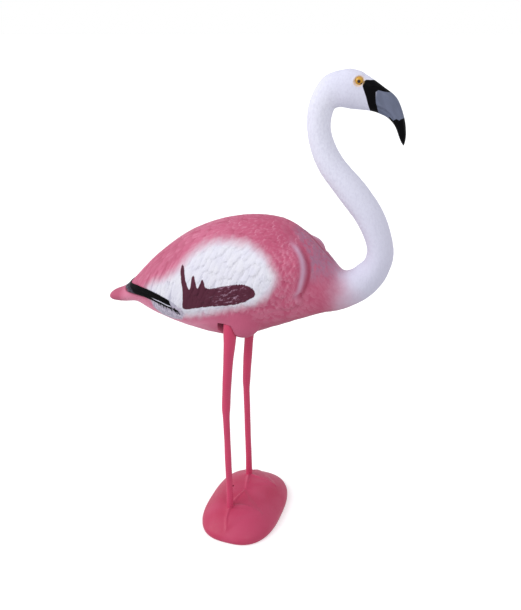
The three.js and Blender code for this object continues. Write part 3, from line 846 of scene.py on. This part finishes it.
def plan_share(x, y):
    """0 in the middle of the base's plan and 1 at its rim."""
    power = BASE["squareness"]
    across, along = np.abs(x / BASE["half_depth"]), np.abs(y / BASE["half_length"])
    return (across**power + along**power) ** (1 / power)


def dome_height(share):
    return BASE["wall"] + (BASE["height"] - BASE["wall"]) * (1 - share ** BASE["roundness"])


def foot_height(x, y):
    """Height of the webbed feet over the dome."""
    flat = np.stack([x, np.abs(y)], 1)
    heel = np.array(HEEL, float)
    tips = [np.array(toe[-1], float) for toe in TOES]
    height = np.zeros(len(x))
    for one, other in ((0, 1), (1, 2)):
        dip = mix((tips[one] + tips[other]) / 2, heel, 0.1)
        web = signed_distance(flat, [heel, tips[one], dip, tips[other]])
        height = np.maximum(height, FOOT["web_rise"] * smooth(web, -6, 5))
    for toe in TOES:
        line = rail(toe)(np.linspace(0, len(toe) - 1, 30))
        away = np.linalg.norm(flat[:, None] - line[None], axis=2)
        part = away.argmin(1) / 29
        width = FOOT["toe_width"] / 2 * (1 - FOOT["toe_taper"] * part)
        ridge = FOOT["toe_rise"] * (1 - 0.6 * part**2) * bell(away.min(1) / width, 1.2)
        height = np.sqrt(height**2 + ridge**2)
    mound = FOOT["heel_rise"] * bell(np.linalg.norm(flat - heel, axis=1), FOOT["heel"])
    return np.maximum(height, mound)


def base_ring(share, drop, level, hole):
    """One ring of the base. Up to its rim it spreads from the filler hole over the dome,
    drop below it; from there level is its height on the side wall."""
    hole_radius = FILLER_HOLE["radius"]
    rim_length = math.pi * (BASE["half_length"] + BASE["half_depth"])
    length = mix(2 * math.pi * hole_radius, rim_length, min(share, 1))
    count = int(np.ceil(max(length / BASE_SPACING, 24) / 8) * 8)
    turn = turns(count)
    around = np.stack([np.cos(turn), np.sin(turn)], 1)
    outer = around / plan_share(*around.T)[:, None]
    if level is not None:
        return np.column_stack([outer * share, np.full(count, level)])
    flat = mix(hole + hole_radius * around, outer, share)
    x, y = flat.T
    rim = plan_share(x, y)
    edge = BASE_SHOULDER * (1 - quarter_round((1 - rim) / (1 - RIM_FROM)))
    lip = 0.4 * bell(np.hypot(*(flat - hole).T) - hole_radius, 1.0)
    return np.column_stack([flat, dome_height(rim) - edge + foot_height(x, y) - drop - lip])


def make_base(material):
    """The domed base with both feet moulded on it."""
    hole = np.array([FILLER_HOLE["x"], FILLER_HOLE["y"]])
    rings = [(0, FILLER_HOLE["depth"] * part, None) for part in (1, 0.8, 0.6, 0.4, 0.2, 0.05)]
    rings += [(share, 0, None) for share in np.linspace(0, 1, 66) ** 0.92]
    rings += [(1, 0, level) for level in (7.0, 5.5, 4.2, 3)]
    rings += [(0.996, 0, 1.4), (0.985, 0, 0.4), (0.97, 0, 0)]
    parts = [base_ring(*ring, hole) for ring in rings]
    points = np.vstack(parts)
    on_top = points[:, 2] > BASE["wall"]
    attributes = {
        "foot": foot_height(points[:, 0], points[:, 1]) * on_top,
        "hole": bell(np.hypot(*(points[:, :2] - hole).T), 2.9) * (points[:, 2] > 4),
        "height": points[:, 2],
    }
    shape = Loft([len(part) for part in parts]).closed(points)
    make_piece("base_and_feet", shape, attributes, ["base", "foot_right", "foot_left"],
               material, flat_ends=len(parts[-1]), place=(0, 0, 0))


# ---- Materials -----------------------------------------------------------------------
def linear(red, green, blue):
    """A colour given as it shows on screen, 0 to 255, as Blender wants it."""
    return tuple(((c / 255 + 0.055) / 1.055) ** 2.4 if c > 10 else c / 255 / 12.92
                 for c in (red, green, blue)) + (1.0,)


class Paint:
    """A node material under construction, with one Principled shader."""

    def __init__(self, name, specular=0.3):
        self.material = bpy.data.materials.new(name)
        self.material.use_nodes = True
        self.tree = self.material.node_tree
        self.shader = self.tree.nodes["Principled BSDF"]
        self.shader.inputs["Specular IOR Level"].default_value = specular

    def node(self, kind, inputs=None, **settings):
        made = self.tree.nodes.new("ShaderNode" + kind)
        for key, value in settings.items():
            setattr(made, key, value)
        for key, value in (inputs or {}).items():
            self.plug(value, made.inputs[key])
        return made

    def plug(self, value, socket):
        """Links a socket, or gives it a plain value."""
        if isinstance(value, bpy.types.NodeSocket):
            self.tree.links.new(value, socket)
        else:
            socket.default_value = value

    def read(self, name):
        return self.node("Attribute", attribute_name=name).outputs["Fac"]

    def maths(self, operation, *values):
        return self.node("Math", dict(enumerate(values)), operation=operation).outputs[0]

    def times(self, product, *values):
        for value in values:
            product = self.maths("MULTIPLY", product, value)
        return product

    def ragged(self, name, noise, reach):
        """A distance that the mesh holds, moved up to half a reach either way by noise."""
        shift = self.maths("MULTIPLY_ADD", noise, reach, -reach / 2)
        return self.maths("ADD", self.read(name), shift)

    def ramp(self, value, low, high, start=0.0, end=1.0):
        """start below low and end above high, with an even S between."""
        span = {"Value": value, "From Min": low, "From Max": high, "To Min": start, "To Max": end}
        return self.node("MapRange", span, interpolation_type="SMOOTHSTEP").outputs["Result"]

    def noise(self, scale, detail=3.0, rough=0.5, stretch=(1, 1, 1), turn=(0, 0, 0)):
        """Noise whose lumps are about 1 / scale metres across, stretched along turned axes."""
        place = {"Vector": self.node("TexCoord").outputs["Object"], "Scale": stretch, "Rotation": turn}
        mapped = self.node("Mapping", place, vector_type="TEXTURE").outputs[0]
        return self.node("TexNoise", {"Vector": mapped, "Scale": scale, "Detail": detail,
                                      "Roughness": rough}).outputs["Fac"]

    def blend(self, share, one, other):
        made = self.node("Mix", {0: share, 6: one, 7: other}, data_type="RGBA", clamp_factor=True)
        return made.outputs[2]

    def layers(self, colour, *over):
        """A colour with others laid over it in turn, each given as (share, colour)."""
        for share, other in over:
            colour = self.blend(share, colour, other)
        return colour

    def finish(self, colour, roughness, bumps=()):
        """Colour and roughness, and bumps as (height, depth in metres)."""
        self.plug(colour, self.shader.inputs["Base Color"])
        self.plug(roughness, self.shader.inputs["Roughness"])
        below = {}
        for height, depth in bumps:
            bump = self.node("Bump", {"Height": height, "Distance": depth, **below})
            below = {"Normal": bump.outputs[0]}
        if below:
            self.plug(below["Normal"], self.shader.inputs["Normal"])
        return self.material


PINK = linear(206, 118, 147)
PINK_SOFT = linear(199, 107, 137)
PINK_FRONT_SHADE = linear(186, 88, 118)
PINK_PALE = linear(230, 168, 190)
BELLY_LIT_PINK = linear(230, 150, 178)
TAIL_SHADE_PINK = linear(184, 92, 120)
MAUVE = linear(206, 168, 194)
CREASE_SHADE_RED = linear(156, 58, 86)
STRIP_SHADOW_RED = linear(112, 34, 58)
RECESS_SHADE_RED = linear(104, 26, 48)
MANTLE_GREY = linear(160, 122, 148)
WHITE = linear(226, 225, 234)
WHITE_SHADE = linear(214, 213, 230)
CREASE_SHADE_GREY = linear(164, 162, 182)
NECK_WHITE = linear(231, 231, 246)
NECK_SHADE = linear(209, 208, 227)
NECK_SPECK = linear(196, 193, 214)
HEAD_WHITE = linear(220, 220, 238)
UNDERTAIL_GREY = linear(206, 199, 216)
UNDERTAIL_STREAK = linear(172, 164, 184)
MAROON_PAINT = linear(86, 42, 58)
BLACK_PAINT = linear(6, 5, 8)
GREY_AND_GLINT = linear(96, 92, 108)
BILL_GREY = linear(104, 110, 130)
BILL_STREAK = linear(112, 118, 140)
BILL_LOW = linear(84, 92, 116)
EYE_HALO = linear(232, 196, 150)
YELLOW = linear(190, 158, 50)
GOLD_RAY = linear(214, 148, 28)
EYE_EDGE = linear(190, 138, 84)
PUPIL_EDGE = linear(150, 84, 14)
CORNER_BROWN = linear(50, 30, 22)
LEG_PINK = linear(200, 64, 103)
LEG_SOFT = linear(202, 64, 102)
RIB_GROOVE_SHADE = linear(160, 46, 78)
BASE_PINK = linear(182, 54, 89)
BASE_SOFT = linear(188, 68, 102)
BASE_CONTACT_SHADE = linear(150, 50, 78)
TOE_HIGHLIGHT_PINK = linear(212, 94, 128)
STEEP_TURN = (0, 0.35, 0)  # the way the wing's feathers slant
LOW_TURN = (0, 0.95, 0)  # the same over the back


def skin_material():
    paint = Paint("painted_plastic_bird", 0.06)
    read, ramp, times, noise, maths = paint.read, paint.ramp, paint.times, paint.noise, paint.maths
    relief, place, wing, steep = (read(name) for name in ("relief", "place", "wing", "steep"))
    x, _, z = paint.node("SeparateXYZ", {0: paint.node("TexCoord").outputs["Object"]}).outputs
    soft, fine = noise(24.0, 2.0), noise(300.0, 3.0, 0.6)
    downward, backward = (noise(260.0, 3.0, 0.55, (1, 1, 9), turn) for turn in (STEEP_TURN, LOW_TURN))
    streaks = maths("ADD", times(downward, steep), times(backward, maths("SUBTRACT", 1.0, steep)))

    brush = ramp(noise(150.0, 4.0, 0.7, (1, 1, 3), STEEP_TURN), 0.3, 0.62)
    # lighter on the belly's rear below the white patch: painted light, where it faces the light from
    # the left
    belly = times(ramp(read("patch"), -4.0, -22.0), ramp(place, 6.8, 5.2), ramp(z, 0.49, 0.45))
    pink = paint.layers(
        PINK,
        (ramp(soft, 0.35, 0.65), PINK_SOFT),
        # darker towards the breast: painted shade, the front being turned away from the light
        (ramp(place, 4.5, 8.5), PINK_FRONT_SHADE),
        (belly, BELLY_LIT_PINK),
        # darker towards the tail tip: painted shade, where the tail lies under the black feathers
        (ramp(place, 2.6, 1.6), TAIL_SHADE_PINK),
        (times(ramp(streaks, 0.45, 0.75), wing, 0.3), PINK_PALE),
        # paler on the raised feathers: a dry-brushed tone that also stands in for highlights on them
        (times(ramp(relief, 0.1, 0.8), 0.16), PINK_PALE),
        # darker in the creases between the wing's feathers: painted shade
        (times(ramp(relief, -0.45, -0.9), wing, 0.5), CREASE_SHADE_RED),
        # lighter along the feathers' tip edges: a painted tone that also stands in for glints
        (times(read("pale_edge_glint"), 0.45), PINK_PALE),
        # mauve along the shoulder's raised rim: painted highlight
        (times(read("crest_highlight"), 0.85), MAUVE),
        (times(read("mantle"), brush, 0.8), MANTLE_GREY),
        # darker in the shoulder's groove and the mantle's seam: painted shade
        (times(read("groove"), 0.6), CREASE_SHADE_RED),
        # dark red just below the black feathers' rear: painted shadow
        (read("strip_shadow"), STRIP_SHADOW_RED),
    )
    wing_white = paint.layers(
        WHITE,
        (ramp(noise(45.0, 2.0), 0.3, 0.7, 0.0, 0.5), WHITE_SHADE),
        (times(ramp(streaks, 0.55, 0.4), wing, 0.25), WHITE_SHADE),
        # grey in the creases between the white feathers: painted shade
        (times(ramp(relief, -0.4, -0.95), wing, 0.7), CREASE_SHADE_GREY),
    )
    slanted = noise(85.0, 3.0, 0.6, (1, 1, 4), STEEP_TURN)
    specks = noise(330.0, 4.0, 0.65, (1, 1, 2))
    # painted shade: greyer at the neck's foot, lightest up the neck, a little greyer again on the head
    neck_white = paint.layers(
        NECK_SHADE,
        (ramp(place, 13.5, 20.0), NECK_WHITE),
        (ramp(place, 20.2, 22.0), HEAD_WHITE),
        (ramp(specks, 0.4, 0.7, 0.0, 0.3), NECK_SPECK),
    )
    neck = maths("MULTIPLY_ADD", maths("SUBTRACT", soft, 0.5), 0.35, read("neck"))
    # grey-white paint with grey streaks; its grey also serves as painted shade under the black feathers
    undertail = paint.blend(ramp(streaks, 0.35, 0.6), UNDERTAIL_GREY, UNDERTAIL_STREAK)

    hairs = maths("SUBTRACT", noise(420.0, 3.0, 0.6, (1, 1, 3), STEEP_TURN), 0.5)
    maroon = maths("ADD", read("maroon"), times(hairs, ramp(x, -0.045, 0.01, 2.0, 5.0)))
    scratches = ramp(noise(230.0, 4.0, 0.65, (3, 1, 1), (0, -0.35, 0)), 0.53, 0.64)
    worn = times(scratches, ramp(x, -0.045, 0.01), ramp(x, 0.045, 0.02), 0.5)
    face = ramp(read("face"), -0.4, 0.4)
    colour = paint.layers(
        pink,
        (ramp(paint.ragged("patch", slanted, 14.0), -13.0, 12.0), wing_white),
        (ramp(neck, 0.05, 0.95), neck_white),
        (ramp(paint.ragged("under", fine, 6.0), -3.0, 4.0), undertail),
        (ramp(maroon, -0.9, 0.7), paint.blend(worn, MAROON_PAINT, MAUVE)),
        (face, BLACK_PAINT),
        (ramp(read("eye"), 7.0, 9.6, 0.6, 0.0), EYE_HALO),
        # dark red inside each leg's socket: painted shade in the recess
        (read("socket"), RECESS_SHADE_RED),
    )
    roughness = paint.blend(face, ramp(noise(90.0), 0.3, 0.7, 0.36, 0.5), (0.25, 0.25, 0.25, 1))
    bumps = [(times(streaks, wing), 0.00035), (specks, 0.0008), (fine, 0.0002)]
    return paint.finish(colour, roughness, bumps)


def black_strip_material():
    paint = Paint("black_feather_paint", 0.05)
    row = paint.read("row")
    brush = paint.noise(240.0, 3.0, 0.6, (4, 1, 1), (0, 0.15, 0))
    off_line = paint.maths("ABSOLUTE", paint.maths("SUBTRACT", paint.read("down"), HIGHLIGHT_LINE))
    colour = paint.layers(
        BLACK_PAINT,
        # greyer towards the strip's rear end, in brushed streaks
        (paint.times(paint.ramp(brush, 0.35, 0.62), paint.ramp(row, 0.04, 0.32, 1.0, 0.0)), GREY_AND_GLINT),
        # a thin white line near the free edge at the front: painted highlight
        (paint.times(paint.ramp(off_line, 0.07, 0.035), paint.ramp(row, 0.72, 0.8)), WHITE_SHADE),
    )
    return paint.finish(colour, paint.ramp(brush, 0.3, 0.7, 0.32, 0.5), [(brush, 0.0006)])


def bill_material():
    paint = Paint("glossy_bill_paint", 0.06)
    streaks, fine = paint.noise(150.0, 3.0, 0.5, (1, 1, 4), (0, -0.5, 0)), paint.noise(700.0, 2.0)
    black = paint.ramp(paint.ragged("face", streaks, 0.96), -0.4, 0.4)
    tip = paint.ramp(paint.ragged("tip", streaks, 3.2), -0.4, 0.5)
    forehead = paint.ramp(paint.read("place"), 24.75, 24.6)
    colour = paint.layers(
        BILL_GREY,
        (paint.ramp(streaks, 0.3, 0.7), BILL_STREAK),
        (paint.ramp(paint.read("level"), 0.26, 0.05, 0.0, 0.3), BILL_LOW),
        (forehead, HEAD_WHITE),
        (paint.maths("MAXIMUM", black, tip), BLACK_PAINT),
        # light grey flecks in the black tip: painted glints
        (paint.times(paint.ramp(fine, 0.66, 0.76), tip, 0.2), GREY_AND_GLINT),
    )
    roughness = paint.ramp(forehead, 0.0, 1.0, 0.22, 0.42)
    return paint.finish(colour, roughness, [(streaks, 0.0002), (fine, 0.00006)])


def eye_material():
    paint = Paint("glossy_eye", 0.5)
    rays = paint.noise(900.0, 2.0, 0.5)
    pupil = paint.ragged("pupil", rays, 0.8)
    edge, corner = PUPIL["radius"], EYE_CORNER["radius"]
    colour = paint.layers(
        YELLOW,
        (paint.ramp(rays, 0.35, 0.65), GOLD_RAY),
        (paint.ramp(paint.read("radius"), 5.6, 6.8), EYE_EDGE),
        (paint.ramp(pupil, edge + 0.9, edge + 0.3), PUPIL_EDGE),
        (paint.ramp(pupil, edge + 0.2, edge - 0.2), BLACK_PAINT),
        (paint.ramp(paint.read("corner"), corner + 0.6, corner - 0.6), CORNER_BROWN),
    )
    return paint.finish(colour, 0.14, [(rays, 0.00005)])


def leg_material():
    paint = Paint("moulded_leg")
    fine = paint.noise(300.0, 3.0, 0.6)
    pink = paint.layers(
        LEG_PINK,
        (paint.ramp(paint.noise(22.0, 2.0), 0.35, 0.65), LEG_SOFT),
        # darker in the grooves between the leg's rings: painted shade
        (paint.times(paint.read("rib"), 0.3), RIB_GROOVE_SHADE),
    )
    return paint.finish(pink, paint.ramp(fine, 0.3, 0.7, 0.36, 0.5), [(fine, 0.00015)])


def base_material():
    paint = Paint("moulded_base")
    fine, soft = paint.noise(210.0, 4.0, 0.6), paint.noise(14.0, 2.0)
    pink = paint.layers(
        BASE_PINK,
        (paint.ramp(soft, 0.35, 0.65), BASE_SOFT),
        # lighter on the raised toes and heel: painted highlight
        (paint.ramp(paint.read("foot"), 2.5, 5.0, 0.0, 0.3), TOE_HIGHLIGHT_PINK),
        # dark red in the filler hole: painted shade in the recess
        (paint.ramp(paint.read("hole"), 0.4, 0.62), RECESS_SHADE_RED),
        # darker at the very foot of the side wall, by the floor: painted shade
        (paint.ramp(paint.read("height"), 3.0, 0.5, 0.0, 0.5), BASE_CONTACT_SHADE),
    )
    return paint.finish(pink, paint.ramp(fine, 0.3, 0.7, 0.38, 0.5), [(fine, 0.0002), (soft, 0.001)])


# ---- Stage: floor, light and camera --------------------------------------------------
CAMERA = {"turn": 18.9, "distance": 1150, "height": 937, "pitch": 22.3, "side": 43.5, "base_x": 13.5}
FOCAL_PIXELS = 662
PHOTO_HEIGHT = 610


def make_camera():
    turn, pitch = math.radians(CAMERA["turn"]), math.radians(CAMERA["pitch"])
    right = Vector((math.cos(turn), math.sin(turn), 0))
    level = Vector((-math.sin(turn), math.cos(turn), 0))
    place = right * CAMERA["side"] - level * CAMERA["distance"]
    place += Vector((-CAMERA["base_x"], 0, CAMERA["height"]))
    look = level * math.cos(pitch) - Vector((0, 0, 1)) * math.sin(pitch)
    data = bpy.data.cameras.new("camera")
    data.sensor_width = 36
    data.lens = FOCAL_PIXELS * data.sensor_width / PHOTO_HEIGHT
    camera = added("camera", data)
    camera.location = place * MM
    camera.rotation_euler = look.to_track_quat("-Z", "Y").to_euler()
    bpy.context.scene.camera = camera


def light_from(name, direction, strength, spread):
    """Even light from far away, from a direction, as wide as an angle in degrees."""
    data = bpy.data.lights.new(name, "SUN")
    data.energy = strength
    data.angle = math.radians(spread)
    added(name, data).rotation_euler = (-Vector(direction)).to_track_quat("-Z", "Y").to_euler()


def make_world():
    """A white room: brightest round the horizon, softer overhead and from below."""
    world = bpy.data.worlds.new("studio")
    bpy.context.scene.world = world
    world.use_nodes = True
    nodes, links = world.node_tree.nodes, world.node_tree.links
    coordinate, split, height, levels = (
        nodes.new("ShaderNode" + kind) for kind in ("TexCoord", "SeparateXYZ", "Math", "ValToRGB"))
    height.operation = "MULTIPLY_ADD"
    links.new(coordinate.outputs["Generated"], split.inputs[0])
    height.inputs[1].default_value = height.inputs[2].default_value = 0.5
    links.new(split.outputs["Z"], height.inputs[0])
    links.new(height.outputs[0], levels.inputs[0])
    steps = levels.color_ramp.elements
    for place in (0.485, 0.545):
        steps.new(place).color = (1, 1, 1, 1)
    steps[0].position, steps[-1].position = 0.44, 0.62
    steps[0].color = (0.76, 0.76, 0.77, 1)
    steps[-1].color = (0.68, 0.685, 0.7, 1)
    links.new(levels.outputs[0], nodes["Background"].inputs["Color"])


def make_floor():
    mesh = bpy.data.meshes.new("floor")
    reach = 300
    mesh.from_pydata([(-reach, -reach, 0), (reach, -reach, 0), (reach, reach, 0), (-reach, reach, 0)],
                     [], [(0, 1, 2, 3)])
    floor = added("floor", mesh)
    paint = Paint("floor_white", 0.1)
    paint.shader.inputs["Emission Color"].default_value = (1, 1, 1, 1)
    paint.shader.inputs["Emission Strength"].default_value = 0.28
    white = paint.blend(paint.noise(6.0), (0.93, 0.93, 0.93, 1), (0.95, 0.95, 0.95, 1))
    floor.data.materials.append(paint.finish(white, 0.9))
    floor.visible_diffuse = floor.visible_glossy = False


# ---- The piece list ------------------------------------------------------------------
bpy.context.scene.view_settings.view_transform = "Standard"
make_camera()
make_world()
make_floor()
light_from("key", (-0.689, -0.408, 0.6), 1.45, 45)
light_from("glint", (0.5, -0.6, 0.75), 0.3, 6)
make_skin(skin_material())
make_bill(bill_material())
black, gold, leg_pink = black_strip_material(), eye_material(), leg_material()
for name, side in SIDES.items():
    make_flight(f"flight_feathers_{name}", side, black)
    make_eye(f"eye_{name}", side, gold)
    make_leg(f"leg_{name}", side, leg_pink)
make_base(base_material())
